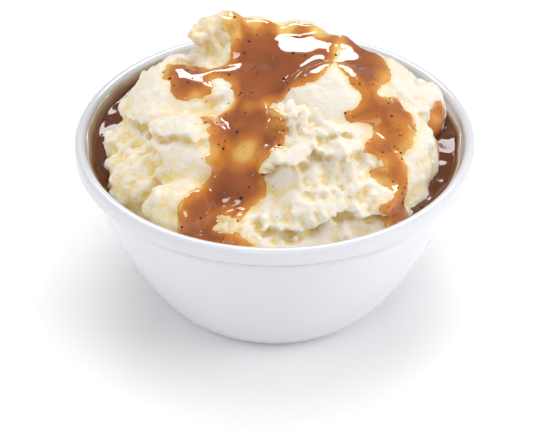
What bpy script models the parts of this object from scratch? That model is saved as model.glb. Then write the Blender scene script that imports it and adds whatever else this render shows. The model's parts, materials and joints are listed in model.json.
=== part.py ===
"""Mashed potato side: a white glazed bowl, a heap of mashed potato and its brown gravy.

Lengths are in metres, +Z up. The origin lies under the middle of the bowl, on the surface
that it stands on. -Y is the front, where the heap falls away in broken ledges.
"""
import math

import bmesh
import bpy
import numpy as np
from mathutils import Euler, Matrix, Vector

MM = 0.001

# ---- Driving sizes of the bowl ------------------------------------------------------------
RIM_RADIUS = 60.0 * MM
BOWL_HEIGHT = 56.0 * MM
LIP_THICKNESS = 3.4 * MM
BAND_HEIGHT = 5.0 * MM            # the plain band round the outside of the rim
BEAD_HEIGHT = 2.4 * MM            # the fine bead just under the band
BODY_TOP = BOWL_HEIGHT - BAND_HEIGHT - BEAD_HEIGHT
BAND_STEP = 3.2 * MM              # how far the band stands out from the wall below it
WALL = 3.0 * MM
FLOOR_TOP = 5.0 * MM
FLOOR_RADIUS = 28.0 * MM
FOOT_RADIUS = 31.0 * MM
FOOT_WIDTH = 3.0 * MM
FOOT_RECESS = 1.2 * MM
FOOT_ROUND = 0.5 * MM             # how much the foot's outer edge is cut back
INSIDE_PULL = ((38 * MM, 6.5 * MM), (47.8 * MM, 28 * MM))   # the two points that bend the
OUTSIDE_PULL = ((40 * MM, 2.5 * MM), (51 * MM, 28 * MM))    # wall's inside and its outside
WALL_POINTS = 7                   # points along each side of the wall
BEAD_LOW, BEAD_HIGH = 0.3, 0.7    # shares of the bead's height where it stands out furthest
BEAD_GROOVE = 0.6 * MM            # how far the groove over the bead cuts in
BAND_ROUND = 0.8 * MM             # how much the band's lower edge is cut back
LIP_TURNS = (0, 45, 90, 135)      # degrees round the lip at which it has a point
WELD = 0.001 * MM
SEGMENTS = 48                     # facets round every turned or draped piece

# ---- Driving sizes of the food ------------------------------------------------------------
HEAP_CENTRE = Vector((0.0, 0.0, 46.0 * MM))   # every point of the heap is seen from here
MASH_GAP = 0.35 * MM              # mash to bowl
FLANK_GAP = 2.4 * MM              # heap to bowl above the line where it leaves the wall
WALL_RING_SPREAD = 1.4            # over 1 crowds the lower rings towards the round bottom
CONTACT_HEIGHT = 51.5 * MM        # where the mash leaves the wall
POOL_BED = 45.5 * MM              # and how low that line dips under a pool of gravy
POOL_LEVEL = 50.5 * MM
GRAVY_GAP = 0.45 * MM             # gravy to mash
GRAVY_DEPTH = 1.5 * MM            # thickness of the coat that lies on the heap
POOL_INSIDE = 36.0 * MM           # a pool is cut from a ring that starts well inside the mash
CONE_START = 1.5 * MM             # a coat is cut from a cone: its first height over the
CONE_END = 90.0 * MM              # centre of the heap, and its last
LOWER_RINGS = 6
UPPER_RINGS = 24
SOFTENING_PASSES = 2              # passes that round off cliffs between scoops
SCOOP_BLEND = 1.1 * MM            # how softly one scoop runs into the next

# Scoops of mash: name, centre (mm), radii (mm), turn about X, Y and Z (degrees).
SCOOPS = (
    ("heap", (0, -1, 44), (51, 52, 14), (0, 0, 0)),
    ("mound", (1, 2, 52), (36, 31, 21), (0, 0, 0)),
    ("crown", (-4, 6, 64), (25, 19, 12.8), (13, 0, 0)),
    ("crest", (-14, 17, 78), (6.5, 6, 10.5), (0, 0, 0)),
    ("crest side", (-19, 15, 78.5), (5, 5, 9.3), (0, -6, 0)),
    ("crest tip", (-22, 13, 82), (4.8, 4, 3.8), (0, 12, 0)),
    ("crest foot", (-19, 8, 72), (9, 8, 7), (0, 0, 0)),
    ("ridge left", (-6, 18, 75.5), (10, 6, 10), (0, 0, 0)),
    ("ridge right", (8, 19, 73.5), (11, 6, 9.5), (0, 9, 0)),
    ("shelf", (12, 11, 76), (15, 11, 4), (8, 5, 0)),
    ("top slope", (-9, 13.2, 76.8), (12, 11, 5), (31, 0, 0)),
    ("right saddle", (27, 6, 71), (14, 11, 5.2), (7, 9, 0)),
    ("left arm", (-22, 5, 71), (15.5, 9, 4), (8, -5, 0)),
    ("left shoulder", (-28, 4, 63), (17, 15, 12), (5, -10, 0)),
    ("left ledge", (-35, -3, 56), (13, 13, 10), (20, -30, 0)),
    ("back left", (-29, 28, 52), (14, 10, 10), (0, 0, 20)),
    ("back middle", (-2, 35, 54), (22, 13, 13), (0, 0, 0)),
    ("back right", (27, 28, 52), (21, 12, 10), (0, 0, -15)),
    ("right crest", (25, 14, 62), (15, 12, 10.5), (0, 6, 0)),
    ("right foot", (37, -23, 46), (9, 12, 9), (0, 0, -20)),
    ("far right", (43.5, 14, 54), (8.5, 11, 11), (0, 0, 10)),
    ("right shoulder", (32, 3, 58), (14, 22, 13), (0, 25, 0)),
    ("right flank", (37, -13, 51), (10, 20, 14), (0, 0, -20)),
    ("cheek", (-24, -18, 59), (13, 13, 13), (0, 0, 0)),
    ("left", (-42, -4, 51), (8, 13, 10), (0, 0, 0)),
    ("lower left", (-38, -20, 50), (11, 12, 11), (0, 0, 0)),
    ("bottom left", (-27, -34, 51), (10, 10, 10), (0, 0, 0)),
    ("upper slab", (18, -8, 69), (16, 14, 8), (42, 8, -4)),
    ("knob", (4, -17, 73), (5.5, 3.5, 4), (0, 10, 10)),
    ("slab step", (20, -19, 62), (15, 9, 7), (35, 10, 0)),
    ("middle slab", (15, -24, 59), (21, 14, 8), (42, 6, -4)),
    ("front lump", (10, -37, 53), (9, 6, 8), (0, 0, 0)),
    ("right lump", (26, -31, 54), (12, 7, 7), (0, 0, 10)),
    ("lower slab", (18, -37, 48), (24, 12, 7), (35, 4, 5)),
    ("front crumb", (-8, -41, 48), (9, 8, 7), (0, 0, 0)),
    ("run slope", (-11, -25, 57), (14, 13, 5), (28, 0, 0)),
    ("lobe tip", (-41.5, 3, 61.5), (5.5, 4, 3), (0, 15, 0)),
    ("upper prong", (-46, -7, 58), (6, 3.5, 3), (0, -10, 10)),
    ("lower prong", (-45, -13, 54.5), (6, 3.5, 3), (0, -10, 15)),
)

# Pools between heap and wall: first and last azimuth (degrees, 0 along +X).
POOLS = {
    "gravy_pool_right": (-33.0, 19.0),
    "gravy_pool_left": (131.0, 209.0),
}
POOL_TAPER = 10.0                 # degrees over which a pool's bed rises to the contact line

# Coats of gravy on the heap, as outlines seen from HEAP_CENTRE: azimuth and tilt from +Z,
# in degrees.
COATS = {
    "gravy_top": (
        (-62, 19), (-34, 22), (1, 26), (23, 28), (44, 33), (56, 28), (92, 26), (128, 28),
        (146, 27), (163, 31), (161, 46), (174, 51), (-172, 49), (-164, 44), (-157, 28),
        (-148, 32), (-147, 38), (-131, 51), (-125, 59), (-122, 66), (-124, 77), (-122, 83),
        (-106, 83), (-103, 80), (-97, 75), (-96, 62), (-91, 53), (-84, 50), (-82, 36),
        (-98, 23), (-79, 18),
    ),
    "gravy_right": (
        (46, 43), (43, 49), (31, 54), (14, 55), (2, 53), (-11, 49), (-5, 57), (-9, 65),
        (-20, 68), (-28, 72), (-35, 78), (-41, 83), (-51, 83), (-53, 78), (-47, 75),
        (-49, 71), (-43, 66), (-46, 61), (-32, 57), (-34, 51), (-38, 47), (-32, 43),
        (-21, 41), (-13, 35), (1, 33), (26, 37),
    ),
    "gravy_back": (
        (77, 41), (97, 39), (104, 51), (101, 63), (109, 73), (106, 81), (91, 81), (84, 71),
        (79, 59), (73, 49),
    ),
}
COAT_POINTS_PER_SPAN = 2


def clear_scene():
    for item in list(bpy.data.objects):
        bpy.data.objects.remove(item, do_unlink=True)


def material(name, colour, roughness):
    made = bpy.data.materials.new(name)
    made.use_nodes = True
    shader = made.node_tree.nodes["Principled BSDF"]
    shader.inputs["Base Color"].default_value = (*colour, 1.0)
    shader.inputs["Roughness"].default_value = roughness
    shader.inputs["Metallic"].default_value = 0.0
    return made


def add_object(name, mesh, surface=None):
    made = bpy.data.objects.new(name, mesh)
    bpy.context.scene.collection.objects.link(made)
    if surface is None:
        made.hide_render = True
        made.display_type = "WIRE"
    else:
        mesh.materials.append(surface)
        mesh.shade_smooth()
    return made


def mesh_from(name, points, faces):
    """A mesh whose faces are turned to point out."""
    mesh = bpy.data.meshes.new(name)
    mesh.from_pydata([tuple(point) for point in points], [], faces)
    shape = bmesh.new()
    shape.from_mesh(mesh)
    bmesh.ops.recalc_face_normals(shape, faces=shape.faces)
    shape.to_mesh(mesh)
    shape.free()
    mesh.update()
    return mesh


# ---- Bowl ---------------------------------------------------------------------------------
def bezier(start, first, second, end, count):
    """count points of a cubic curve, without its start."""
    points = []
    for step in range(1, count + 1):
        t = step / count
        weights = ((1 - t) ** 3, 3 * t * (1 - t) ** 2, 3 * t * t * (1 - t), t ** 3)
        points.append(tuple(
            sum(w * p[axis] for w, p in zip(weights, (start, first, second, end)))
            for axis in (0, 1)
        ))
    return points


def inner_profile():
    """Radius and height of the inside, from the edge of the flat floor up to the lip."""
    floor_edge = (FLOOR_RADIUS, FLOOR_TOP)
    body_top = (RIM_RADIUS - BAND_STEP - WALL, BODY_TOP)
    lip_inside = (RIM_RADIUS - LIP_THICKNESS, BOWL_HEIGHT - LIP_THICKNESS / 2)
    wall = bezier(floor_edge, *INSIDE_PULL, body_top, WALL_POINTS)
    return [floor_edge] + wall + [lip_inside]


def outer_profile():
    """Radius and height of the outside, from the foot up to the band under the lip."""
    body_top = (RIM_RADIUS - BAND_STEP, BODY_TOP)
    foot_edge = (FOOT_RADIUS, FOOT_ROUND)
    wall = bezier(foot_edge, *OUTSIDE_PULL, body_top, WALL_POINTS)
    bead_radius = RIM_RADIUS - BAND_STEP / 2
    bead = [
        (bead_radius, BODY_TOP + BEAD_HEIGHT * BEAD_LOW),
        (bead_radius, BODY_TOP + BEAD_HEIGHT * BEAD_HIGH),
        (bead_radius - BEAD_GROOVE, BODY_TOP + BEAD_HEIGHT),
    ]
    band_foot = (RIM_RADIUS, BOWL_HEIGHT - BAND_HEIGHT + BAND_ROUND)
    return [foot_edge] + wall + bead + [band_foot]


def lip_arc():
    """The round top of the rim, from outside to inside."""
    radius = LIP_THICKNESS / 2
    centre = (RIM_RADIUS - radius, BOWL_HEIGHT - radius)
    return [
        (centre[0] + radius * math.cos(angle), centre[1] + radius * math.sin(angle))
        for angle in (math.radians(turn) for turn in LIP_TURNS)
    ]


def make_bowl():
    foot_inside = FOOT_RADIUS - FOOT_WIDTH
    foot = [
        (0.0, FOOT_RECESS), (foot_inside - FOOT_RECESS, FOOT_RECESS),
        (foot_inside, 0.0), (FOOT_RADIUS - FOOT_ROUND, 0.0),
    ]
    inside = inner_profile()
    outline = foot + outer_profile() + lip_arc() + inside[::-1] + [(0.0, FLOOR_TOP)]
    shape = bmesh.new()
    points = [shape.verts.new((radius, 0.0, height)) for radius, height in outline]
    edges = [shape.edges.new(pair) for pair in zip(points, points[1:])]
    bmesh.ops.spin(
        shape, geom=points + edges, cent=(0, 0, 0), axis=(0, 0, 1), angle=math.tau,
        steps=SEGMENTS, use_duplicate=False,
    )
    bmesh.ops.remove_doubles(shape, verts=shape.verts, dist=WELD)
    bmesh.ops.recalc_face_normals(shape, faces=shape.faces)
    mesh = bpy.data.meshes.new("bowl")
    shape.to_mesh(mesh)
    shape.free()
    glaze = material("white_glaze", (0.80, 0.81, 0.84), 0.15)
    return add_object("bowl", mesh, glaze)


# ---- Mash ---------------------------------------------------------------------------------
def direction(azimuth, tilt):
    """Unit vector from the heap's centre; azimuth from +X, tilt from +Z, in degrees."""
    flat = math.sin(math.radians(tilt))
    turn = math.radians(azimuth)
    return Vector((flat * math.cos(turn), flat * math.sin(turn), math.cos(math.radians(tilt))))


def scoop_reach(ray, centre, radii, turn):
    """Distance from the heap's centre to where the ray leaves the scoop, or None."""
    unturn = Euler([math.radians(angle) for angle in turn]).to_matrix().transposed()
    unit = Matrix.Diagonal([1 / (radius * MM) for radius in radii]) @ unturn
    start = unit @ (HEAP_CENTRE - Vector(centre) * MM)
    step = unit @ ray
    inside = step.dot(start) ** 2 - step.dot(step) * (start.dot(start) - 1)
    if inside <= 0:
        return None
    reach = (math.sqrt(inside) - step.dot(start)) / step.dot(step)
    return reach if reach > 0 else None


def wall_radius(height, gap):
    """Largest radius at a height that stays the gap away from the bowl's inside."""
    heights = [point[1] for point in inner_profile()]
    radii = [point[0] for point in inner_profile()]
    return float(np.interp(height, heights, radii)) - gap


def heap_radius(azimuth, tilt):
    """Distance from the heap's centre to its surface: a soft union of the scoops."""
    ray = direction(azimuth, tilt)
    reaches = [scoop_reach(ray, *scoop[1:]) for scoop in SCOOPS]
    reaches = [reach for reach in reaches if reach is not None]
    longest = max(reaches)
    blend = sum(math.exp((reach - longest) / SCOOP_BLEND) for reach in reaches)
    reach = longest + SCOOP_BLEND * math.log(blend)
    for _ in range(4):
        height = HEAP_CENTRE.z + ray.z * reach
        flat = math.hypot(ray.x, ray.y)
        limit = wall_radius(height, FLANK_GAP)
        if flat * reach > limit:
            reach = limit / flat
    return reach


def turn_between(azimuth, first, last):
    """How many degrees an azimuth lies inside a range; negative outside it."""
    middle = (first + last) / 2
    away = (azimuth - middle + 180) % 360 - 180
    return (last - first) / 2 - abs(away)


def contact_height(azimuth):
    """Height at which the mash leaves the wall, lower under each pool."""
    depth = 0.0
    for first, last in POOLS.values():
        inside = turn_between(azimuth, first, last) / POOL_TAPER
        ramp = min(max(inside + 0.5, 0.0), 1.0)
        depth = max(depth, ramp * ramp * (3 - 2 * ramp))
    return CONTACT_HEIGHT - depth * (CONTACT_HEIGHT - POOL_BED)


def wall_rings():
    """The rings of mash that follow the bowl's inside, up to where the mash leaves it."""
    bottom = FLOOR_TOP + MASH_GAP
    rings = []
    for ring in range(LOWER_RINGS):
        row = []
        for segment in range(SEGMENTS):
            azimuth = segment * 360 / SEGMENTS
            contact = contact_height(azimuth)
            top = min(BODY_TOP, contact - 1.0 * MM)
            share = (ring / (LOWER_RINGS - 2)) ** WALL_RING_SPREAD
            height = bottom + (top - bottom) * share
            if ring == LOWER_RINGS - 1:
                height = contact
            radius = wall_radius(height, MASH_GAP) if ring else FLOOR_RADIUS - 1.0 * MM
            turn = math.radians(azimuth)
            row.append(Vector((radius * math.cos(turn), radius * math.sin(turn), height)))
        rings.append(row)
    return rings


def free_rings(edge):
    """The rings of the open heap, from the contact line up towards the top."""
    tilts = np.zeros((UPPER_RINGS, SEGMENTS))
    radii = np.zeros((UPPER_RINGS, SEGMENTS))
    for segment, point in enumerate(edge):
        start = point - HEAP_CENTRE
        start_tilt = math.degrees(math.acos(start.z / start.length))
        for ring in range(UPPER_RINGS):
            tilts[ring, segment] = start_tilt * (1 - ring / UPPER_RINGS)
            radii[ring, segment] = heap_radius(segment * 360 / SEGMENTS, tilts[ring, segment])
        radii[0, segment] = start.length
    for _ in range(SOFTENING_PASSES):
        around = (np.roll(radii, 1, axis=1) + np.roll(radii, -1, axis=1)) / 2
        along = radii.copy()
        along[1:-1] = (radii[:-2] + radii[2:]) / 2
        softer = radii / 2 + around / 4 + along / 4
        softer[0] = radii[0]
        radii = softer
    return [
        [
            HEAP_CENTRE + direction(segment * 360 / SEGMENTS, tilts[ring, segment])
            * radii[ring, segment]
            for segment in range(SEGMENTS)
        ]
        for ring in range(1, UPPER_RINGS)
    ]


def heap_points():
    """The closed surface of the mash: rings of points between two poles."""
    below = wall_rings()
    above = free_rings(below[-1])
    top_height = sum((point - HEAP_CENTRE).length for point in above[-1]) / SEGMENTS
    bottom_pole = Vector((0, 0, FLOOR_TOP + MASH_GAP))
    top_pole = HEAP_CENTRE + Vector((0, 0, top_height))
    return [bottom_pole] + [point for row in below + above for point in row] + [top_pole]


def ring_faces(ring_count):
    """Faces of a closed surface of rings between two poles."""
    top = 1 + ring_count * SEGMENTS
    faces = []
    for segment in range(SEGMENTS):
        after = (segment + 1) % SEGMENTS
        faces.append((0, 1 + after, 1 + segment))
        for ring in range(ring_count - 1):
            low = 1 + ring * SEGMENTS
            high = low + SEGMENTS
            faces.append((low + segment, low + after, high + after, high + segment))
        last = top - SEGMENTS
        faces.append((last + segment, last + after, top))
    return faces


def heap_mesh(name, heap, swell=0.0):
    """The heap, triangulated the same way at every swell so that the shells stay nested."""
    points = [point + (point - HEAP_CENTRE).normalized() * swell for point in heap]
    triangles = []
    for face in ring_faces(LOWER_RINGS + UPPER_RINGS - 1):
        triangles.append(face[:3])
        if len(face) == 4:
            triangles.append((face[0], face[2], face[3]))
    return mesh_from(name, points, triangles)


def make_mash(heap):
    potato = material("mashed_potato", (0.87, 0.80, 0.60), 0.55)
    return add_object("mash", heap_mesh("mash", heap), potato)


# ---- Gravy --------------------------------------------------------------------------------
def cut(target, cutter, operation):
    modifier = target.modifiers.new(operation.title(), "BOOLEAN")
    modifier.operation = operation
    modifier.object = cutter
    modifier.solver = "EXACT"


def smooth_loop(points, per_span):
    """Points of a closed Catmull-Rom curve through the given plane points."""
    loop = []
    count = len(points)
    for index in range(count):
        before, start, end, after = (Vector(points[(index + k) % count]) for k in (-1, 0, 1, 2))
        for step in range(per_span):
            t = step / per_span
            loop.append(0.5 * (
                2 * start + (end - before) * t
                + (2 * before - 5 * start + 4 * end - after) * t ** 2
                + (3 * start - before - 3 * end + after) * t ** 3
            ))
    return loop


def coat_cone(name, outline):
    """A cone from the heap's centre through an outline, cut off below and above the coat."""
    chart = [
        (tilt * math.cos(math.radians(azimuth)), tilt * math.sin(math.radians(azimuth)))
        for azimuth, tilt in outline
    ]
    rays = []
    for point in smooth_loop(chart, COAT_POINTS_PER_SPAN):
        ray = direction(math.degrees(math.atan2(point.y, point.x)), point.length)
        rays.append(ray / ray.z)
    count = len(rays)
    points = [HEAP_CENTRE + ray * CONE_START for ray in rays]
    points += [HEAP_CENTRE + ray * CONE_END for ray in rays]
    faces = [tuple(range(count)), tuple(range(count, 2 * count))]
    for index in range(count):
        after = (index + 1) % count
        faces.append((index, after, count + after, count + index))
    return mesh_from(name, points, faces)


def make_coats(sauce, inner_skin, outer_skin):
    for name, outline in COATS.items():
        coat = add_object(name, coat_cone(name, outline), sauce)
        cut(coat, outer_skin, "INTERSECT")
        cut(coat, inner_skin, "DIFFERENCE")


def pool_mesh(name, first, last):
    """A sector of a ring that follows the wall up to the level of the gravy."""
    bottom = POOL_BED - 1.5 * MM
    heights = [bottom, (bottom + POOL_LEVEL) / 2, POOL_LEVEL]
    section = [(POOL_INSIDE, bottom)]
    section += [(wall_radius(height, MASH_GAP), height) for height in heights]
    section += [(POOL_INSIDE, POOL_LEVEL)]
    step = 360 / SEGMENTS
    middle = range(math.ceil(first / step), math.ceil(last / step))
    turns = [first] + [index * step for index in middle] + [last]
    points = []
    for turn in turns:
        angle = math.radians(turn)
        points += [(r * math.cos(angle), r * math.sin(angle), z) for r, z in section]
    size = len(section)
    faces = [tuple(range(size)), tuple(range(len(points) - size, len(points)))]
    for row in range(len(turns) - 1):
        for index in range(size):
            after = (index + 1) % size
            low = row * size
            faces.append((low + index, low + after, low + size + after, low + size + index))
    return mesh_from(name, points, faces)


def make_pools(sauce, inner_skin):
    for name, (first, last) in POOLS.items():
        pool = add_object(name, pool_mesh(name, first, last), sauce)
        cut(pool, inner_skin, "DIFFERENCE")


def main():
    clear_scene()
    make_bowl()
    heap = heap_points()
    make_mash(heap)
    inner_skin = add_object("skin_inside", heap_mesh("skin_inside", heap, GRAVY_GAP))
    outer_skin = add_object(
        "skin_outside", heap_mesh("skin_outside", heap, GRAVY_GAP + GRAVY_DEPTH)
    )
    sauce = material("brown_gravy", (0.36, 0.11, 0.03), 0.12)
    make_coats(sauce, inner_skin, outer_skin)
    make_pools(sauce, inner_skin)


main()
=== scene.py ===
import json
import math

import bmesh
import bpy
import numpy as np
from bpy.props import FloatProperty, FloatVectorProperty, IntProperty, PointerProperty
from mathutils import Euler, Matrix, Vector, noise
from mathutils.bvhtree import BVHTree

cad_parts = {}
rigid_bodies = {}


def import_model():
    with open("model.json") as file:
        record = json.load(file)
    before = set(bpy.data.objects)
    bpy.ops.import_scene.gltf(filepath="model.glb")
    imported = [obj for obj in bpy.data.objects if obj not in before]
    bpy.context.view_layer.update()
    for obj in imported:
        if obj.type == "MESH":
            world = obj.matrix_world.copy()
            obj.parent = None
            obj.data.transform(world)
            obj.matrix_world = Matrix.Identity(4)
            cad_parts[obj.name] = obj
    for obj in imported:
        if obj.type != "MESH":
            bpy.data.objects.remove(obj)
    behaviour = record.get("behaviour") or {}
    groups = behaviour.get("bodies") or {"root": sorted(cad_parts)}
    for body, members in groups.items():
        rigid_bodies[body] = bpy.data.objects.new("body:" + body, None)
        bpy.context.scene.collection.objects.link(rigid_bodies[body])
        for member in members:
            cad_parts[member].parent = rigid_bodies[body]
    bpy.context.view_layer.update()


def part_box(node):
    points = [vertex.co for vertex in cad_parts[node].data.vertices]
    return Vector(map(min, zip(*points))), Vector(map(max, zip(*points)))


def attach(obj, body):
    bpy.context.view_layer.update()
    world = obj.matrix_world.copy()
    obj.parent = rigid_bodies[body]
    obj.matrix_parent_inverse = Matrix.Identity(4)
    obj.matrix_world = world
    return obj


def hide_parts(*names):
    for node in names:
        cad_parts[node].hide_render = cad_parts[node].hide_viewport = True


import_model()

bl_info = {
    "name": "Mashed Potato Side",
    "version": (1, 0, 0),
    "blender": (4, 5, 0),
    "location": "3D View > Sidebar > Potato Side",
    "description": "Dresses a white side bowl with mashed potato, brown gravy and pepper",
    "category": "Add Mesh",
}

MM = 0.001
BOWL_LOW, BOWL_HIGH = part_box("bowl")
POOL_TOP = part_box("gravy_pool_left")[1].z
HEAP_CENTRE = Vector((0.0, 0.0, BOWL_HIGH.z - 10 * MM))
BODY = "root"


# ---- Sizes and colours that a user may change ----------------------------------------------
def length(name, description, default, low, high):
    return FloatProperty(
        name=name, description=description, default=default, min=low, max=high,
        unit="LENGTH", subtype="DISTANCE", precision=5,
    )


def colour(name, description, default):
    return FloatVectorProperty(
        name=name, description=description, default=default, size=3, min=0.0, max=1.0,
        subtype="COLOR",
    )


class BowlSettings(bpy.types.PropertyGroup):
    rim_radius: length("Rim radius", "Outer radius of the lip", BOWL_HIGH.x, 0.03, 0.2)
    height: length("Height", "Height of the bowl", BOWL_HIGH.z, 0.02, 0.2)
    lip: length("Lip", "Thickness of the rounded lip", 3.4 * MM, 0.001, 0.01)
    band: length("Band", "Height of the plain band under the lip", 5.0 * MM, 0.001, 0.02)
    step: length("Step", "How far the band stands out from the wall", 3.2 * MM, 0.0, 0.01)
    wall: length("Wall", "Thickness of the wall", 3.0 * MM, 0.001, 0.01)
    foot_radius: length("Foot radius", "Outer radius of the foot", 31 * MM, 0.01, 0.1)
    segments: IntProperty(name="Segments", description="Facets round the bowl", default=192,
                          min=24, max=512)
    glaze: colour("Glaze", "Colour of the glaze", (0.725, 0.735, 0.775))


class MashSettings(bpy.types.PropertyGroup):
    coarse: length("Body grid", "Voxel size of the mash before its ledges are torn", 0.75 * MM,
                   0.0003, 0.005)
    fine: length("Fine grid", "Voxel size of the finished mash", 0.55 * MM, 0.0003, 0.005)
    clumps: length("Clumps", "Height of the puffy clumps where the mash is broken", 2.0 * MM,
                   0.0, 0.006)
    swell: length("Swell", "Height of the slow swells on the smooth faces", 1.4 * MM,
                  0.0, 0.006)
    grain: length("Grain", "Height of the finest bumps", 0.3 * MM, 0.0, 0.002)
    cream: colour("Cream", "Colour of the lit mash", (0.82, 0.765, 0.675))
    # The colour below is painted shade: a yellow mixed into the mash where creases sink, on faces
    # turned sideways or down, on the left side and low down.
    shade_yellow: colour("Shade yellow", "Colour in the hollows of the mash", (0.85, 0.67, 0.29))
    stained: colour("Stained", "Colour of mash with gravy soaked in", (0.84, 0.58, 0.15))


class GravySettings(bpy.types.PropertyGroup):
    thickness: length("Thickness", "Thickness of the gravy on the heap", 0.8 * MM,
                      0.0002, 0.003)
    grid: length("Grid", "Voxel size of the finished gravy", 0.5 * MM, 0.0003, 0.003)
    film: colour("Film", "Colour of the last trace of gravy on the wall", (0.66, 0.60, 0.54))
    beige: colour("Beige", "Colour of the thin film on the wall", (0.42, 0.27, 0.165))
    brown: colour("Brown", "Colour at the foot of the film on the wall", (0.20, 0.085, 0.04))
    thin: colour("Thin", "Colour where the gravy is thin", (0.88, 0.60, 0.18))
    middle: colour("Middle", "Colour at a third of the depth", (0.62, 0.225, 0.036))
    deep: colour("Deep", "Colour where the gravy is thick", (0.345, 0.096, 0.027))
    pool: colour("Pool", "Colour of the gravy in the pools", (0.13, 0.034, 0.008))


class PepperSettings(bpy.types.PropertyGroup):
    on_gravy: IntProperty(name="On gravy", description="Pepper specks on the gravy",
                          default=420, min=0, max=2000)
    on_mash: IntProperty(name="On mash", description="Pepper specks on the mash",
                         default=60, min=0, max=2000)
    pale: IntProperty(name="Pale bits", description="Pale bits of spice in the gravy",
                      default=110, min=0, max=2000)
    seed: IntProperty(name="Seed", description="Start of the random draws", default=21, min=0)
    black: colour("Black", "Colour of the pepper", (0.012, 0.012, 0.02))
    beige: colour("Beige", "Colour of the pale bits", (0.72, 0.55, 0.40))


class StageSettings(bpy.types.PropertyGroup):
    distance: length("Distance", "Camera to the middle of the object", 0.600, 0.1, 3.0)
    elevation: FloatProperty(name="Elevation", description="Camera height above level",
                             default=math.radians(36.2), min=0.0, max=1.5,
                             subtype="ANGLE", unit="ROTATION")
    lens: FloatProperty(name="Lens", description="Focal length in millimetres",
                        default=126.85, min=10.0, max=400.0)
    floor: colour("Floor", "Colour of the floor", (0.98, 0.98, 0.98))


# ---- Tools for modelling -------------------------------------------------------------------
def deselect_all():
    for item in bpy.context.scene.objects:
        item.select_set(False)


def select_only(item):
    deselect_all()
    item.select_set(True)
    bpy.context.view_layer.objects.active = item


def apply_modifier(item, kind, **settings):
    """Adds one modifier with the given settings and applies it."""
    select_only(item)
    modifier = item.modifiers.new(kind.title(), kind)
    for name, value in settings.items():
        setattr(modifier, name, value)
    bpy.ops.object.modifier_apply(modifier=modifier.name)


def add_mesh(name, points, faces):
    mesh = bpy.data.meshes.new(name)
    mesh.from_pydata(points, [], faces)
    mesh.update()
    item = bpy.data.objects.new(name, mesh)
    bpy.context.scene.collection.objects.link(item)
    return item


def join(items, name):
    deselect_all()
    for item in items:
        item.select_set(True)
    bpy.context.view_layer.objects.active = items[0]
    if len(items) > 1:
        bpy.ops.object.join()
    joined = bpy.context.view_layer.objects.active
    joined.name = name
    joined.data.name = name
    return joined


def finish_piece(item, slot, surface, *nodes):
    """Gives a piece its material and its body, and hides the solids that it stands for. The slot
    is not used.
    """
    item.data.materials.clear()
    item.data.materials.append(surface)
    for face in item.data.polygons:
        face.use_smooth = True
    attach(item, BODY)
    if nodes:
        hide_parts(*nodes)


def positions(mesh):
    values = np.empty(len(mesh.vertices) * 3)
    mesh.vertices.foreach_get("co", values)
    return values.reshape(-1, 3)


def set_positions(mesh, values):
    mesh.vertices.foreach_set("co", values.ravel())
    mesh.update()


def normals(mesh):
    values = np.empty(len(mesh.vertices) * 3)
    mesh.vertex_normals.foreach_get("vector", values)
    return values.reshape(-1, 3)


def edge_pairs(mesh):
    values = np.empty(len(mesh.edges) * 2, dtype=np.int64)
    mesh.edges.foreach_get("vertices", values)
    return values.reshape(-1, 2)


def relax(values, pairs, rounds, strength=0.6):
    """Averages each point's value with its neighbours', over and over."""
    count = len(values)
    shape = values.shape
    values = values.reshape(count, -1).copy()
    neighbours = np.bincount(pairs.ravel(), minlength=count)[:, None]
    for _ in range(rounds):
        total = np.empty_like(values)
        for axis in range(values.shape[1]):
            column = values[:, axis]
            total[:, axis] = np.bincount(pairs[:, 0], column[pairs[:, 1]], count)
            total[:, axis] += np.bincount(pairs[:, 1], column[pairs[:, 0]], count)
        values += strength * (total / np.maximum(neighbours, 1) - values)
    return values.reshape(shape)


def smooth_step(low, high, value):
    share = np.clip((value - low) / (high - low), 0.0, 1.0)
    return share * share * (3 - 2 * share)


def cloudy(points, size, seed):
    """Smooth noise between about -1 and 1 at each point."""
    shift = Vector((seed * 3.1, seed * 5.7, seed * 1.3))
    return np.array([noise.noise(Vector(point) / size + shift) for point in points])


def store(mesh, name, values):
    attribute = mesh.attributes.new(name, "FLOAT", "POINT")
    attribute.data.foreach_set("value", np.asarray(values, dtype=np.float32))


def triangle_samples(mesh, draw, count, weight=None):
    """Random points on a mesh with their normals, spread by area times weight."""
    mesh.calc_loop_triangles()
    corners = np.empty(len(mesh.loop_triangles) * 3, dtype=np.int64)
    mesh.loop_triangles.foreach_get("vertices", corners)
    corners = corners.reshape(-1, 3)
    points = positions(mesh)
    a, b, c = (points[corners[:, k]] for k in range(3))
    cross = np.cross(b - a, c - a)
    area = np.linalg.norm(cross, axis=1)
    chance = area.copy()
    if weight is not None:
        chance *= weight[corners].mean(axis=1)
    if chance.sum() <= 0:
        return np.zeros((0, 3)), np.zeros((0, 3))
    chosen = draw.choice(len(corners), size=count, p=chance / chance.sum())
    u, v = draw.random(count), draw.random(count)
    flip = u + v > 1
    u[flip], v[flip] = 1 - u[flip], 1 - v[flip]
    place = a[chosen] + u[:, None] * (b - a)[chosen] + v[:, None] * (c - a)[chosen]
    return place, cross[chosen] / np.maximum(area[chosen], 1e-15)[:, None]


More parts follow.
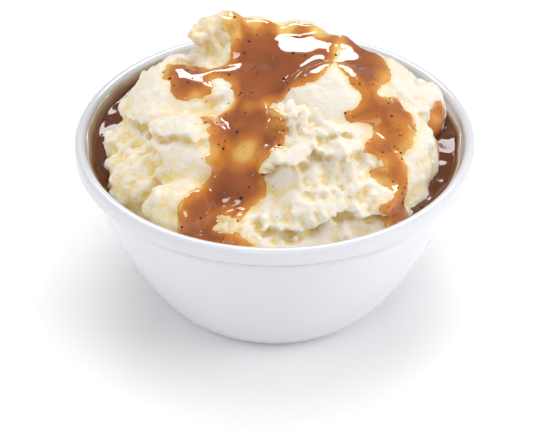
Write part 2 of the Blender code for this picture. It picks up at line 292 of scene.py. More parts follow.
def blobs(name, places, directions, radii, draw, sink, flatness=(0.6, 1.0), detail=1):
    """Many small uneven balls in one mesh, each sunk by a share of its own radius."""
    ball = bmesh.new()
    bmesh.ops.create_icosphere(ball, subdivisions=detail, radius=1.0)
    shape = np.array([vert.co for vert in ball.verts])
    corners = np.array([[vert.index for vert in face.verts] for face in ball.faces])
    ball.free()
    points, faces = [], []
    for index, (place, outward, radius) in enumerate(zip(places, directions, radii)):
        turn = np.array(Euler(draw.random(3) * math.tau).to_matrix())
        stretch = np.array([1.0, draw.uniform(0.75, 1.15), draw.uniform(*flatness)])
        bumps = 1 + draw.normal(0, 0.07, len(shape))
        local = (shape * bumps[:, None] * stretch) @ turn.T * radius
        points.append(local + place - outward * radius * sink)
        faces.append(corners + index * len(shape))
    return add_mesh(name, np.concatenate(points).tolist(), np.concatenate(faces).tolist())


# ---- Materials -----------------------------------------------------------------------------
def new_material(name):
    made = bpy.data.materials.new(name)
    made.use_nodes = True
    nodes = made.node_tree.nodes
    return made, nodes, made.node_tree.links, nodes["Principled BSDF"]


def add_node(nodes, kind, **values):
    node = nodes.new(kind)
    for name, value in values.items():
        if hasattr(node, name):
            setattr(node, name, value)
        else:
            node.inputs[name].default_value = value
    return node


def object_noise(nodes, links, scale, detail=2.0, roughness=0.5):
    place = nodes.new("ShaderNodeTexCoord")
    pattern = nodes.new("ShaderNodeTexNoise")
    pattern.inputs["Scale"].default_value = scale
    pattern.inputs["Detail"].default_value = detail
    pattern.inputs["Roughness"].default_value = roughness
    links.new(place.outputs["Object"], pattern.inputs["Vector"])
    return pattern


def attribute_node(nodes, name):
    node = nodes.new("ShaderNodeAttribute")
    node.attribute_name = name
    return node


def ramp(nodes, stops):
    """stops is a list of position and linear colour."""
    node = nodes.new("ShaderNodeValToRGB")
    elements = node.color_ramp.elements
    while len(elements) < len(stops):
        elements.new(0.5)
    for element, (place, shade) in zip(elements, stops):
        element.position = place
        element.color = (*shade, 1.0)
    return node


def mix_colour(nodes, links, share, first, second):
    """Mixes two colours or colour outputs by a socket or a number."""
    node = nodes.new("ShaderNodeMix")
    node.data_type = "RGBA"
    sockets = [s for s in node.inputs if s.enabled or s.type == "RGBA"]
    factor = node.inputs["Factor"]
    a, b = [s for s in sockets if s.type == "RGBA"]
    for socket, value in ((factor, share), (a, first), (b, second)):
        if isinstance(value, bpy.types.NodeSocket):
            links.new(value, socket)
        elif isinstance(value, (int, float)):
            socket.default_value = value
        else:
            socket.default_value = (*value, 1.0)
    return [s for s in node.outputs if s.type == "RGBA"][0]


def math_node(nodes, links, operation, *values):
    node = nodes.new("ShaderNodeMath")
    node.operation = operation
    node.use_clamp = True
    for socket, value in zip(node.inputs, values):
        if isinstance(value, bpy.types.NodeSocket):
            links.new(value, socket)
        else:
            socket.default_value = value
    return node.outputs[0]


def bump_into(nodes, links, shader, height, strength, distance):
    node = nodes.new("ShaderNodeBump")
    node.inputs["Strength"].default_value = strength
    node.inputs["Distance"].default_value = distance
    links.new(height, node.inputs["Height"])
    links.new(node.outputs["Normal"], shader.inputs["Normal"])


def glaze_material(settings):
    made, nodes, links, shader = new_material("white_glaze")
    tone = object_noise(nodes, links, 40.0)
    shade = mix_colour(nodes, links, tone.outputs["Fac"], settings.glaze,
                       tuple(value * 0.985 for value in settings.glaze))
    links.new(shade, shader.inputs["Base Color"])
    shader.inputs["Roughness"].default_value = 0.16
    shader.inputs["IOR"].default_value = 1.5
    shader.inputs["Coat Weight"].default_value = 0.25
    shader.inputs["Coat Roughness"].default_value = 0.05
    ripple = object_noise(nodes, links, 260.0, 1.0)
    bump_into(nodes, links, shader, ripple.outputs["Fac"], 0.05, 0.0003)
    return made


def mash_material(settings):
    made, nodes, links, shader = new_material("mashed_potato")
    # Painted shade: the stored shade amount mixes the mottled cream towards the yellow shade
    # colour.
    painted_shade = attribute_node(nodes, "painted_shade").outputs["Fac"]
    stain = attribute_node(nodes, "stain").outputs["Fac"]
    mottle = object_noise(nodes, links, 180.0, 3.0).outputs["Fac"]
    pale = mix_colour(nodes, links, mottle, tuple(v * 0.95 for v in settings.cream),
                      tuple(min(1.0, v * 1.05) for v in settings.cream))
    shaded_cream = mix_colour(nodes, links, painted_shade, pale, settings.shade_yellow)
    stained = mix_colour(nodes, links, stain, shaded_cream, settings.stained)
    links.new(stained, shader.inputs["Base Color"])
    shader.inputs["Roughness"].default_value = 0.5
    shader.inputs["IOR"].default_value = 1.38
    shader.inputs["Specular IOR Level"].default_value = 0.35
    shader.inputs["Subsurface Weight"].default_value = 0.5
    shader.inputs["Subsurface Radius"].default_value = (1.0, 0.72, 0.32)
    shader.inputs["Subsurface Scale"].default_value = 0.0012
    grain = object_noise(nodes, links, 900.0, 3.0, 0.6)
    bump_into(nodes, links, shader, grain.outputs["Fac"], 0.5, 0.0004)
    return made


def gravy_material(name, stops, shine):
    """Gravy whose colour follows its depth; stops is a list of depth and colour."""
    made, nodes, links, shader = new_material(name)
    depth = attribute_node(nodes, "depth").outputs["Fac"]
    streaks = object_noise(nodes, links, 110.0, 3.0).outputs["Fac"]
    uneven = math_node(nodes, links, "MULTIPLY", streaks, 0.12)
    amount = math_node(nodes, links, "ADD", depth, uneven)
    tones = ramp(nodes, stops)
    links.new(amount, tones.inputs["Fac"])
    links.new(tones.outputs["Color"], shader.inputs["Base Color"])
    shader.inputs["Roughness"].default_value = 0.10
    shader.inputs["IOR"].default_value = 1.45
    shader.inputs["Coat Weight"].default_value = shine
    shader.inputs["Coat Roughness"].default_value = 0.03
    shader.inputs["Coat IOR"].default_value = 1.6
    shader.inputs["Subsurface Weight"].default_value = 0.25
    shader.inputs["Subsurface Radius"].default_value = (1.0, 0.4, 0.12)
    shader.inputs["Subsurface Scale"].default_value = 0.0012
    ripple = object_noise(nodes, links, 220.0, 1.0)
    bump_into(nodes, links, shader, ripple.outputs["Fac"], 0.12, 0.0004)
    return made


def speck_material(name, shade, roughness):
    made, nodes, links, shader = new_material(name)
    tone = object_noise(nodes, links, 1500.0)
    varied = mix_colour(nodes, links, tone.outputs["Fac"], tuple(v * 0.6 for v in shade),
                        tuple(min(1.0, v * 1.4) for v in shade))
    links.new(varied, shader.inputs["Base Color"])
    shader.inputs["Roughness"].default_value = roughness
    return made


# ---- Bowl ----------------------------------------------------------------------------------
def bezier(start, first, second, end, count):
    """count points of a cubic curve, without its start."""
    points = []
    for step in range(1, count + 1):
        t = step / count
        weights = ((1 - t) ** 3, 3 * t * (1 - t) ** 2, 3 * t * t * (1 - t), t ** 3)
        points.append(tuple(
            sum(w * p[axis] for w, p in zip(weights, (start, first, second, end)))
            for axis in (0, 1)
        ))
    return points


def arc(centre, radius, start, end, count):
    """Points of a circle's arc, angles in degrees."""
    return [
        (centre[0] + radius * math.cos(math.radians(turn)),
         centre[1] + radius * math.sin(math.radians(turn)))
        for turn in np.linspace(start, end, count)
    ]


FLOOR_TOP = 5.0 * MM
FLOOR_RADIUS = 28.0 * MM
BEAD_HEIGHT = 2.4 * MM


def inner_profile(bowl):
    """Radius and height of the inside, from the edge of the floor up to the lip."""
    body_top_z = bowl.height - bowl.band - BEAD_HEIGHT
    body_top = (bowl.rim_radius - bowl.step - bowl.wall, body_top_z)
    lip_inside = (bowl.rim_radius - bowl.lip, bowl.height - bowl.lip / 2)
    wall = bezier((FLOOR_RADIUS, FLOOR_TOP), (38 * MM, 6.5 * MM), (47.8 * MM, 28 * MM),
                  body_top, 24)
    flare = bezier(body_top, (body_top[0] + 0.7 * MM, body_top_z + 2.2 * MM),
                   (lip_inside[0] - 0.5 * MM, lip_inside[1] - 1.5 * MM), lip_inside, 6)
    return [(FLOOR_RADIUS, FLOOR_TOP)] + wall + flare


def outer_profile(bowl):
    """Radius and height of the outside, from the foot up to the side of the lip."""
    body_top_z = bowl.height - bowl.band - BEAD_HEIGHT
    body_top = (bowl.rim_radius - bowl.step, body_top_z)
    foot_top = (bowl.foot_radius, 0.5 * MM)
    wall = bezier(foot_top, (40 * MM, 2.5 * MM), (51 * MM, 28 * MM), body_top, 26)
    bead_centre = (bowl.rim_radius - bowl.step * 0.70, body_top_z + BEAD_HEIGHT * 0.45)
    bead = arc(bead_centre, 0.62 * MM, -70, 80, 7)
    band_foot = bowl.height - bowl.band
    turn_in = arc((bowl.rim_radius - 0.9 * MM, band_foot + 0.9 * MM), 0.9 * MM, -80, 0, 6)
    groove = [(bowl.rim_radius - bowl.step * 0.78, band_foot - 0.2 * MM)]
    return [foot_top] + wall + bead + groove + turn_in


def build_bowl(settings):
    lip_radius = settings.lip / 2
    lip_centre = (settings.rim_radius - lip_radius, settings.height - lip_radius)
    foot_inside = settings.foot_radius - 3.0 * MM
    recess = 1.2 * MM
    outline = [(0.0, recess), (foot_inside - recess, recess)]
    outline += arc((foot_inside + 0.4 * MM, 0.4 * MM), 0.4 * MM, 180, 270, 4)
    outline += arc((settings.foot_radius - 0.5 * MM, 0.5 * MM), 0.5 * MM, 270, 350, 4)
    outline += outer_profile(settings)[1:]
    outline += arc(lip_centre, lip_radius, 5, 175, 14)
    outline += inner_profile(settings)[::-1]
    outline += [(0.0, FLOOR_TOP)]
    points = [(radius, 0.0, height) for radius, height in outline]
    edges = [(index, index + 1) for index in range(len(points) - 1)]
    mesh = bpy.data.meshes.new("white_bowl")
    mesh.from_pydata(points, edges, [])
    bowl = bpy.data.objects.new("white_bowl", mesh)
    bpy.context.scene.collection.objects.link(bowl)
    select_only(bowl)
    bpy.ops.object.mode_set(mode="EDIT")
    bpy.ops.mesh.select_all(action="SELECT")
    bpy.ops.mesh.spin(steps=settings.segments, angle=math.tau, center=(0, 0, 0),
                      axis=(0, 0, 1))
    bpy.ops.mesh.select_all(action="SELECT")
    bpy.ops.mesh.remove_doubles(threshold=0.002 * MM)
    bpy.ops.mesh.normals_make_consistent(inside=False)
    bpy.ops.object.mode_set(mode="OBJECT")
    return bowl


# ---- Mash ----------------------------------------------------------------------------------
# Scoops of mash: name, centre (mm), radii (mm), turn about X, Y and Z (degrees).
SCOOPS = (
    ("bed", (0, 0, 36), (60, 60, 11), (0, 0, 0)),
    ("heap", (0, -1, 44), (51, 52, 14), (0, 0, 0)),
    ("mound", (1, 2, 52), (36, 31, 21), (0, 0, 0)),
    ("crown", (-4, 6, 64), (25, 19, 12.8), (13, 0, 0)),
    ("crest", (-14, 17, 78), (6.5, 6, 10.5), (0, 0, 0)),
    ("crest side", (-19, 15, 78.5), (5, 5, 9.3), (0, -6, 0)),
    ("crest tip", (-22, 13, 82), (4.8, 4, 3.8), (0, 12, 0)),
    ("crest foot", (-19, 12, 71.5), (9, 7, 6), (0, 0, 0)),
    ("ridge left", (-6, 18, 75.5), (10, 6, 10), (0, 0, 0)),
    ("ridge right", (8, 19, 73.5), (11, 6, 9.5), (0, 9, 0)),
    ("shelf", (12, 11, 76), (15, 11, 4), (8, 5, 0)),
    ("top slope", (-9, 13.2, 76.8), (12, 11, 5), (31, 0, 0)),
    ("right saddle", (27, 6, 71), (14, 11, 5.2), (7, 9, 0)),
    ("left arm", (-21, 5, 72.8), (16, 11, 2.6), (8, -4, 0)),
    ("left shoulder", (-28, 4, 63), (17, 15, 12), (5, -10, 0)),
    ("left ledge", (-35, -3, 56), (13, 13, 10), (20, -30, 0)),
    ("back left", (-29, 28, 52), (14, 10, 10), (0, 0, 20)),
    ("back middle", (-2, 35, 54), (22, 13, 13), (0, 0, 0)),
    ("back right", (27, 28, 52), (21, 12, 10), (0, 0, -15)),
    ("right crest", (25, 14, 62), (15, 12, 10.5), (0, 6, 0)),
    ("right foot", (37, -23, 46), (9, 12, 9), (0, 0, -20)),
    ("far right", (43.5, 14, 54), (8.5, 11, 11), (0, 0, 10)),
    ("right shoulder", (32, 3, 58), (14, 22, 13), (0, 25, 0)),
    ("right flank", (37, -13, 51), (10, 20, 14), (0, 0, -20)),
    ("cheek", (-24, -18, 59), (13, 13, 13), (0, 0, 0)),
    ("left", (-42, -4, 51), (8, 13, 10), (0, 0, 0)),
    ("lower left", (-38, -20, 50), (11, 12, 11), (0, 0, 0)),
    ("bottom left", (-27, -34, 51), (10, 10, 10), (0, 0, 0)),
    ("upper slab", (18, -8, 69), (16, 14, 8), (42, 8, -4)),
    ("front fall", (-5, -9.5, 68.7), (8, 7, 2.6), (33, 0, 0)),
    ("knob", (4, -17, 73), (5.5, 3.5, 4), (0, 10, 10)),
    ("slab step", (20, -19, 62), (15, 9, 7), (35, 10, 0)),
    ("middle slab", (15, -24, 59), (21, 14, 8), (42, 6, -4)),
    ("front lump", (10, -37, 53), (9, 6, 8), (0, 0, 0)),
    ("right lump", (26, -31, 54), (12, 7, 7), (0, 0, 10)),
    ("lower slab", (18, -37, 48), (24, 12, 7), (35, 4, 5)),
    ("front crumb", (-8, -41, 48), (9, 8, 7), (0, 0, 0)),
    ("run slope", (-11, -25, 57), (14, 13, 5), (28, 0, 0)),
    ("lobe tip", (-41.5, 3, 61.5), (5.5, 4, 3), (0, 15, 0)),
    ("upper prong", (-46, -7, 58), (6, 3.5, 3), (0, -10, 10)),
    ("lower prong", (-45, -13, 54.5), (6, 3.5, 3), (0, -10, 15)),
)

# Where the mash is broken into clumps: a line from start to end (mm), reach (mm), amount.
BROKEN = (
    ((-33, -20, 68), (-22, -24, 70), 4, 0.7),
    ((-45, -4, 58), (-38, -16, 60), 9, 0.9),
    ((-44, -26, 52), (-36, -32, 58), 8, 0.7),
    ((-34, -40, 52), (-28, -42, 56), 5, 0.4),
    ((1, -18, 76), (8, -18, 75), 5, 1.1),
    ((3, -22, 67), (12, -22, 70), 6, 1.0),
    ((12, -22, 68), (22, -24, 68), 4, 0.8),
    ((14, -32, 62), (28, -30, 61), 8, 0.9),
    ((4, -43, 55), (12, -42, 58), 6, 0.9),
    ((16, -40, 56), (32, -34, 58), 6, 0.8),
    ((20, -46, 51), (28, -42, 51), 4, 0.7),
    ((-14, -46, 52), (-4, -50, 51), 7, 1.0),
    ((44, 4, 62), (44, 22, 62), 8, 0.6),
    ((36, 2, 70), (44, -18, 58), 7, 0.55),
    ((33, 8, 72), (42, 10, 64), 6, 0.5),
    ((-27, 12, 82), (-19, 14, 88), 6, 1.0),
    ((34, 28, 64), (42, 22, 64), 6, 0.7),
    ((-24, 10, 78), (-16, 12, 86), 8, 1.1),
    ((38, -20, 60), (40, -8, 62), 5, 0.4),
    ((-28, 34, 60), (6, 46, 60), 9, 0.8),
    ((14, 40, 62), (30, 40, 58), 8, 0.8),
)

FLUFF = 0.3                       # how crumbly the mash is where no zone says otherwise

# Where the mash stays smooth: a line from start to end (mm) and its reach (mm).
SMOOTH = (
    ((2, -33, 57), (9, -34, 56), 8),
    ((8, -46, 51), (28, -41, 51), 5),
    ((10, -14, 72), (20, -12, 72), 5),
    ((-36, -5, 64), (-28, -4, 67), 4),
)

# Torn ledges. Each line gives azimuth from +X and tilt from +Z as seen from the heap's centre
# (degrees); the mash on its left stands proud. Then height, reach and raggedness (mm).
LEDGES = (
    ("left lobe", ((-180, 71), (-176, 68), (-168, 65), (-158, 62), (-145, 60), (-138, 57),
                   (-131, 55), (-127, 49)), 2.4, 9, 1.3),
    ("cheek", ((-160, 64), (-150, 65), (-142, 67), (-143, 74), (-136, 76)), 1.3, 6, 0.9),
    ("bottom left", ((-134, 73), (-136, 81), (-137, 88)), 1.6, 7, 0.7),
    ("broken face", ((-106, 63), (-98, 62), (-91, 61), (-86, 57), (-79, 60), (-73, 56),
                     (-67, 55), (-61, 57), (-54, 59), (-44, 61)), 4.0, 8, 2.0),
    ("cavity", ((-66, 47), (-60, 49), (-53, 50), (-46, 53), (-38, 57)), 2.2, 6, 1.0),
    ("knob", ((-96, 33), (-86, 37), (-77, 38), (-70, 36), (-64, 33)), 1.6, 5, 0.9),
    ("leaf", ((-70, 38), (-69, 43), (-66, 49), (-66, 54)), 1.3, 5, 0.7),
    ("middle lumps", ((-80, 69), (-74, 71), (-67, 73), (-61, 74), (-55, 72), (-48, 73)),
     1.5, 6, 1.1),
    ("lower lumps", ((-99, 79), (-92, 82), (-85, 84), (-79, 83), (-74, 80), (-69, 78),
                     (-64, 78), (-59, 80), (-53, 81), (-46, 80)), 3.0, 7, 1.3),
    ("right lumps", ((-6, 66), (2, 70), (10, 66), (20, 62), (30, 63)), 1.8, 6, 1.2),
    ("back left", ((168, 66), (158, 62), (147, 64), (138, 70), (127, 66), (118, 68)),
     2.2, 8, 1.3),
    ("back middle", ((112, 52), (101, 55), (90, 50), (78, 54), (66, 52)), 2.6, 8, 1.5),
    ("back low", ((100, 74), (88, 76), (76, 72), (64, 75), (50, 70)), 2.2, 7, 1.3),
)

# Pits pushed into the mash: centre, radius and depth (mm).
PITS = (
    ((14, -24, 69), 3.2, 3.0),
    ((-33, -27, 63), 2.0, 1.4),
    ((-36, -13, 63), 2.2, 1.4),
    ((49, 6, 60), 3.0, 2.2),
    ((51, 2, 56), 3.0, 2.0),
)


def add_scoop(centre, radii, turn):
    bpy.ops.mesh.primitive_ico_sphere_add(
        subdivisions=5, radius=1.0, location=[value * MM for value in centre],
        rotation=[math.radians(angle) for angle in turn], scale=[r * MM for r in radii],
    )
    return bpy.context.view_layer.objects.active


def near_segment(points, start, end, reach):
    """1 near a line from start to end (mm), fading to 0 past its reach (mm)."""
    a, b = np.array(start) * MM, np.array(end) * MM
    along = np.clip(((points - a) @ (b - a)) / ((b - a) @ (b - a)), 0, 1)
    away = np.linalg.norm(points - a - along[:, None] * (b - a), axis=1) / (reach * MM)
    return 1 - smooth_step(0.6, 1.5, away)


def brokenness(points):
    """How crumbly the mash is at each point, from 0 to 1."""
    most = np.full(len(points), FLUFF)
    for start, end, reach in SMOOTH:
        most = np.minimum(most, FLUFF * (1 - near_segment(points, start, end, reach)))
    for start, end, reach, amount in BROKEN:
        most = np.maximum(most, amount * near_segment(points, start, end, reach))
    return most


def puffs(points, size, seed):
    """Rounded clumps with sharp creases between them, from 0 to about 1."""
    warp = 0.35 * size * np.stack(
        [cloudy(points, size * 1.4, seed + k) for k in (1, 2, 3)], axis=1)
    return np.abs(cloudy(points + warp, size, seed)) * 1.7


def chunks(points, size, seed):
    """Uneven flat-topped pieces at different heights, from about -1 to 1."""
    warp = 0.3 * np.stack([cloudy(points, size, seed + k) for k in (1, 2, 3)], axis=1)
    heights = np.empty(len(points))
    shift = Vector((seed * 2.3, seed * 4.1, seed * 0.7))
    for index, place in enumerate(points / size + warp):
        away, cells = noise.voronoi(Vector(place) + shift)
        first, second = (noise.cell_vector(cell * 3.7)[0] * 2 - 1 for cell in cells[:2])
        blend = min(1.0, (away[1] - away[0]) / 0.3)
        blend = blend * blend * (3 - 2 * blend)
        heights[index] = 0.5 * (first + second) * (1 - blend) + first * blend
        heights[index] -= 0.5 * (1 - blend)
    return heights


def furrows(points, across, along, seed):
    """Noise drawn out down the sides of the heap."""
    away = points - np.array(HEAP_CENTRE)
    turn = np.arctan2(away[:, 1], away[:, 0])
    tilt = np.arctan2(np.linalg.norm(away[:, :2], axis=1), away[:, 2])
    ring = CHART_RADIUS / across
    drawn = np.stack([np.cos(turn) * ring, np.sin(turn) * ring,
                      tilt * CHART_RADIUS / along], axis=1)
    return cloudy(drawn, 1.0, seed)


def line_distance(flat, line):
    """Signed distance from an open line (positive on its left), place along it and its
    sideways direction to the right at the nearest point."""
    nearest = np.full(len(flat), 1e9)
    side, place = np.zeros(len(flat)), np.zeros(len(flat))
    right = np.zeros((len(flat), 2))
    spans = line[1:] - line[:-1]
    lengths = np.linalg.norm(spans, axis=1)
    before = np.concatenate([[0], np.cumsum(lengths)])
    for index, (start, span) in enumerate(zip(line[:-1], spans)):
        raw = ((flat - start) @ span) / (span @ span)
        along = np.clip(raw, 0, 1)
        offset = flat - start - along[:, None] * span
        away = np.linalg.norm(offset, axis=1)
        better = away < nearest
        nearest[better] = away[better]
        cross = span[0] * offset[:, 1] - span[1] * offset[:, 0]
        side[better] = np.sign(cross[better])
        place[better] = (before[index] + np.where(index == 0, np.minimum(raw, 1),
                         np.where(index == len(spans) - 1, np.maximum(raw, 0), along))
                         * lengths[index])[better]
        right[better] = np.array([span[1], -span[0]]) / lengths[index]
    return nearest * side, place / before[-1], right


def open_curve(points, per_span=4):
    """Points of an open Catmull-Rom curve through the given plane points."""
    points = [np.array(point) for point in points]
    points = [2 * points[0] - points[1]] + points + [2 * points[-1] - points[-2]]
    curve = []
    for before, start, end, after in zip(points, points[1:], points[2:], points[3:]):
        for step in range(per_span):
            t = step / per_span
            curve.append(0.5 * (
                2 * start + (end - before) * t
                + (2 * before - 5 * start + 4 * end - after) * t ** 2
                + (3 * start - before - 3 * end + after) * t ** 3
            ))
    curve.append(points[-2])
    return np.array(curve)


def tear_ledges(mesh):
    """Lifts the mash above each ledge's line, lets it hang over and undercuts it.
    Returns how torn each point is, from 0 to 1."""
    points = positions(mesh)
    outward = normals(mesh)
    flat = chart(points)
    high = points[:, 2] > 44 * MM
    moved = np.zeros_like(points)
    torn = np.zeros(len(points))
    for seed, (_, line, height, reach, ragged) in enumerate(LEDGES):
        curve = open_curve([chart_place(*point) for point in line])
        middle = curve.mean(axis=0)
        span = np.linalg.norm(curve - middle, axis=1).max() + (reach + 4) * MM
        near = np.nonzero((np.linalg.norm(flat - middle, axis=1) < span) & high)[0]
        away, place, right = line_distance(flat[near], curve)
        local = points[near]
        away += ragged * MM * (0.9 * cloudy(local, 3.4 * MM, 40 + seed)
                               + 0.6 * cloudy(local, 1.5 * MM, 70 + seed))
        ends = smooth_step(-0.02, 0.12, place) * (1 - smooth_step(0.88, 1.02, place))
        rise = smooth_step(0.0, 0.7 * MM, away)
        fade = 1 - smooth_step(0.15 * reach * MM, reach * MM, away)
        lift = height * MM * ends * rise * fade
        groove = 0.4 * height * MM * ends * smooth_step(-2.4 * MM, -0.2 * MM, away) * (1 - rise)
        lip = 0.7 * lift * (1 - smooth_step(0.5 * MM, 3.2 * MM, away))
        sideways = np.concatenate([right, np.zeros((len(near), 1))], axis=1)
        normal = outward[near]
        sideways -= np.einsum("ij,ij->i", sideways, normal)[:, None] * normal
        moved[near] += normal * (lift - groove)[:, None] + sideways * lip[:, None]
        torn[near] = np.maximum(torn[near], ends * smooth_step(-1.5 * MM, 0.2 * MM, away)
                                * (1 - smooth_step(0.8 * MM, 4.5 * MM, away)))
    for centre, radius, depth in PITS:
        away = np.linalg.norm(points - np.array(centre) * MM, axis=1) / (radius * MM)
        moved -= outward * (depth * MM * (1 - smooth_step(0.2, 1.2, away)))[:, None]
    set_positions(mesh, points + moved)
    return torn


def keep_in_bowl(mesh, bowl, gap):
    """Moves points that reach past the inside of the bowl back onto it."""
    profile = inner_profile(bowl)
    points = positions(mesh)
    heights = np.array([point[1] for point in profile])
    radii = np.array([point[0] for point in profile])
    limit = np.interp(points[:, 2], heights, radii) - gap
    flat = np.linalg.norm(points[:, :2], axis=1)
    share = np.minimum(1.0, limit / np.maximum(flat, 1e-9))
    points[:, :2] *= share[:, None]
    set_positions(mesh, points)


def build_mash(settings, bowl):
    scoops = [add_scoop(*scoop[1:]) for scoop in SCOOPS]
    mash = join(scoops, "mash_heap")
    select_only(mash)
    bpy.ops.object.transform_apply(location=True, rotation=True, scale=True)
    apply_modifier(mash, "REMESH", mode="VOXEL", voxel_size=settings.coarse)
    apply_modifier(mash, "SMOOTH", factor=0.5, iterations=4)
    points, outward = positions(mash.data), normals(mash.data)
    swell = cloudy(points, 11 * MM, 3) + 0.45 * cloudy(points, 5 * MM, 4)
    swell *= settings.swell * (1 - 0.55 * smooth_step(66 * MM, 73 * MM, points[:, 2]))
    set_positions(mash.data, points + outward * swell[:, None])
    torn = tear_ledges(mash.data)
    points, outward = positions(mash.data), normals(mash.data)
    broken = np.maximum(brokenness(points), 0.75 * torn)
    broken *= points[:, 2] > 43 * MM
    rough = broken > 0.02
    clumps = np.zeros(len(points))
    local = points[rough]
    clumps[rough] = (0.45 * chunks(local, 4.8 * MM, 11) + 0.22 * chunks(local, 2.3 * MM, 13)
                     + 0.55 * (puffs(local, 6.5 * MM, 17) - 0.4)
                     + 0.6 * furrows(local, 2.1 * MM, 7 * MM, 5))
    moved = settings.clumps * broken * clumps
    set_positions(mash.data, points + outward * moved[:, None])
    apply_modifier(mash, "REMESH", mode="VOXEL", voxel_size=settings.fine)
    apply_modifier(mash, "SMOOTH", factor=0.5, iterations=1)
    points, outward = positions(mash.data), normals(mash.data)
    rough = 0.4 + 0.6 * brokenness(points)
    fine = puffs(points, 1.5 * MM, 23) - 0.35 + 0.5 * cloudy(points, 0.9 * MM, 29)
    set_positions(mash.data, points + outward * (settings.grain * rough * fine)[:, None])
    keep_in_bowl(mash.data, bowl, 0.1 * MM)
    return mash


def close_bottom(mash, height, bowl):
    """Cuts the mash level at a height and draws it down to the floor of the bowl."""
    select_only(mash)
    bpy.ops.object.mode_set(mode="EDIT")
    bpy.ops.mesh.select_all(action="SELECT")
    bpy.ops.mesh.bisect(plane_co=(0, 0, height), plane_no=(0, 0, 1), use_fill=True,
                        clear_inner=True)
    profile = inner_profile(bowl)
    heights = [point[1] for point in profile]
    radii = [point[0] for point in profile]
    level, radius = height, float(np.interp(height, heights, radii))
    for share in (0.75, 0.5, 0.3, 0.12, 0.02):
        lower = FLOOR_TOP + share * (height - FLOOR_TOP)
        inner = float(np.interp(lower, heights, radii))
        bpy.ops.mesh.extrude_region_move(
            TRANSFORM_OT_translate={"value": (0, 0, lower - level)})
        bpy.ops.transform.resize(value=(inner / radius, inner / radius, 1),
                                 center_override=(0, 0, lower))
        level, radius = lower, inner
    bpy.ops.object.mode_set(mode="OBJECT")


def store_painted_shade(mash):
    """Marks painted shade for colour: how far each point lies below its surroundings, and a
    little more on faces that look sideways or down, on the left side and on the low parts."""
    points, pairs = positions(mash.data), edge_pairs(mash.data)
    outward = normals(mash.data)
    near = relax(points, pairs, 5)
    far = relax(near, pairs, 30)
    # Painted shade in fine creases and broad hollows.
    fine = np.einsum("ij,ij->i", near - points, outward) / (0.16 * MM)
    broad = np.einsum("ij,ij->i", far - points, outward) / (0.9 * MM)
    facing = relax(outward[:, 2], pairs, 10)
    sideways = 0.16 * (1 - smooth_step(0.0, 0.85, facing))
    # Painted shade: yellower towards the left below the top, and yellower still under about 66
    # mm.
    left_low_shade = 0.42 * np.clip(-points[:, 0] / (30 * MM), 0, 1)
    left_low_shade *= 1 - smooth_step(66 * MM, 74 * MM, points[:, 2])
    left_low_shade += 0.32 * (1 - smooth_step(50 * MM, 66 * MM, points[:, 2]))
    painted_shade = 0.36 * fine + 0.75 * broad - 0.1 + sideways + left_low_shade
    store(mash.data, "painted_shade", np.clip(painted_shade, 0, 1))


# ---- Gravy ---------------------------------------------------------------------------------
# Outlines of the gravy on the heap, seen from the heap's centre: azimuth from +X and tilt
# from +Z, in degrees.
COATS = {
    "gravy_top": (
        (125, 29), (114, 27), (106, 25), (95, 26), (80, 28), (66, 28), (57, 31), (50, 35),
        (44, 38), (38, 38), (24, 32), (-1, 27), (-12, 26), (-22, 24), (-33, 22), (-48, 19),
        (-61, 18), (-80, 18), (-95, 18), (-101, 21), (-90, 31), (-82, 35), (-81, 40), (-83, 45),
        (-85, 51), (-90, 51), (-93, 54), (-96, 58), (-97, 62), (-96, 66), (-95, 70), (-96, 74),
        (-99, 77), (-106, 79), (-114, 81), (-110, 83), (-104, 82), (-99, 83), (-98, 89),
        (-121, 89), (-122, 84), (-123, 79), (-125, 77), (-123, 73), (-122, 70), (-122, 65),
        (-124, 61), (-126, 56), (-129, 52), (-132, 49), (-138, 47), (-148, 43), (-147, 38),
        (-147, 32), (-156, 27), (-168, 25), (-177, 26), (177, 30), (-179, 33), (-169, 34),
        (-165, 38), (-164, 44), (-166, 48), (-173, 50), (180, 48), (176, 50), (168, 50),
        (161, 46), (166, 37), (164, 31), (158, 26), (146, 26), (137, 28), (130, 27),
    ),
    "gravy_right": (
        (46, 40), (43, 45), (36, 48), (28, 50), (22, 51), (13, 51), (2, 51), (-13, 47),
        (-15, 49), (-6, 55), (-5, 58), (-8, 62), (-10, 67), (-19, 67), (-26, 70), (-31, 71),
        (-35, 77), (-41, 82), (-44, 88), (-52, 88), (-53, 83), (-53, 78), (-47, 76),
        (-44, 74), (-49, 70), (-43, 67), (-44, 63), (-47, 60), (-43, 59), (-32, 58),
        (-28, 56), (-32, 52), (-38, 48), (-37, 45), (-32, 44), (-23, 43), (-20, 38),
        (-13, 32), (-1, 29), (25, 33),
    ),
    "gravy_back": (
        (77, 41), (97, 39), (104, 51), (101, 63), (109, 73), (106, 82), (91, 82), (84, 71),
        (79, 59), (73, 49),
    ),
}
# Where the film of gravy is thin: direction (degrees), radius (mm) and how thin, up to 1.
THIN = (
    ((-111, 53), 8.5, 1.0), ((-84, 53), 4, 0.9), ((-122, 62), 3.5, 0.25), ((-90, 36), 5, 0.6),
    ((-125, 27), 4, 0.4), ((-108, 22), 4, 0.4), ((-147, 28), 3, 0.4), ((-26, 65), 7, 0.35),
    ((-38, 69), 6, 0.3), ((-44, 72), 4, 0.3), ((-18, 59), 4, 0.3), ((2, 48), 4, 0.5),
    ((25, 33), 4, 0.6), ((112, 26), 4, 0.8), ((80, 25), 4, 0.9), ((50, 31), 5, 0.9),
    ((134, 27), 4, 0.9), ((-112, 87), 6, -0.7), ((-110, 77), 8, -0.4), ((-114, 73), 4, -0.2),
    ((168, 47), 4, 0.3), ((95, 60), 7, 0.6), ((60, 14), 9, -0.3), ((150, 10), 9, -0.3),
    ((-60, 8), 7, -0.2),
)
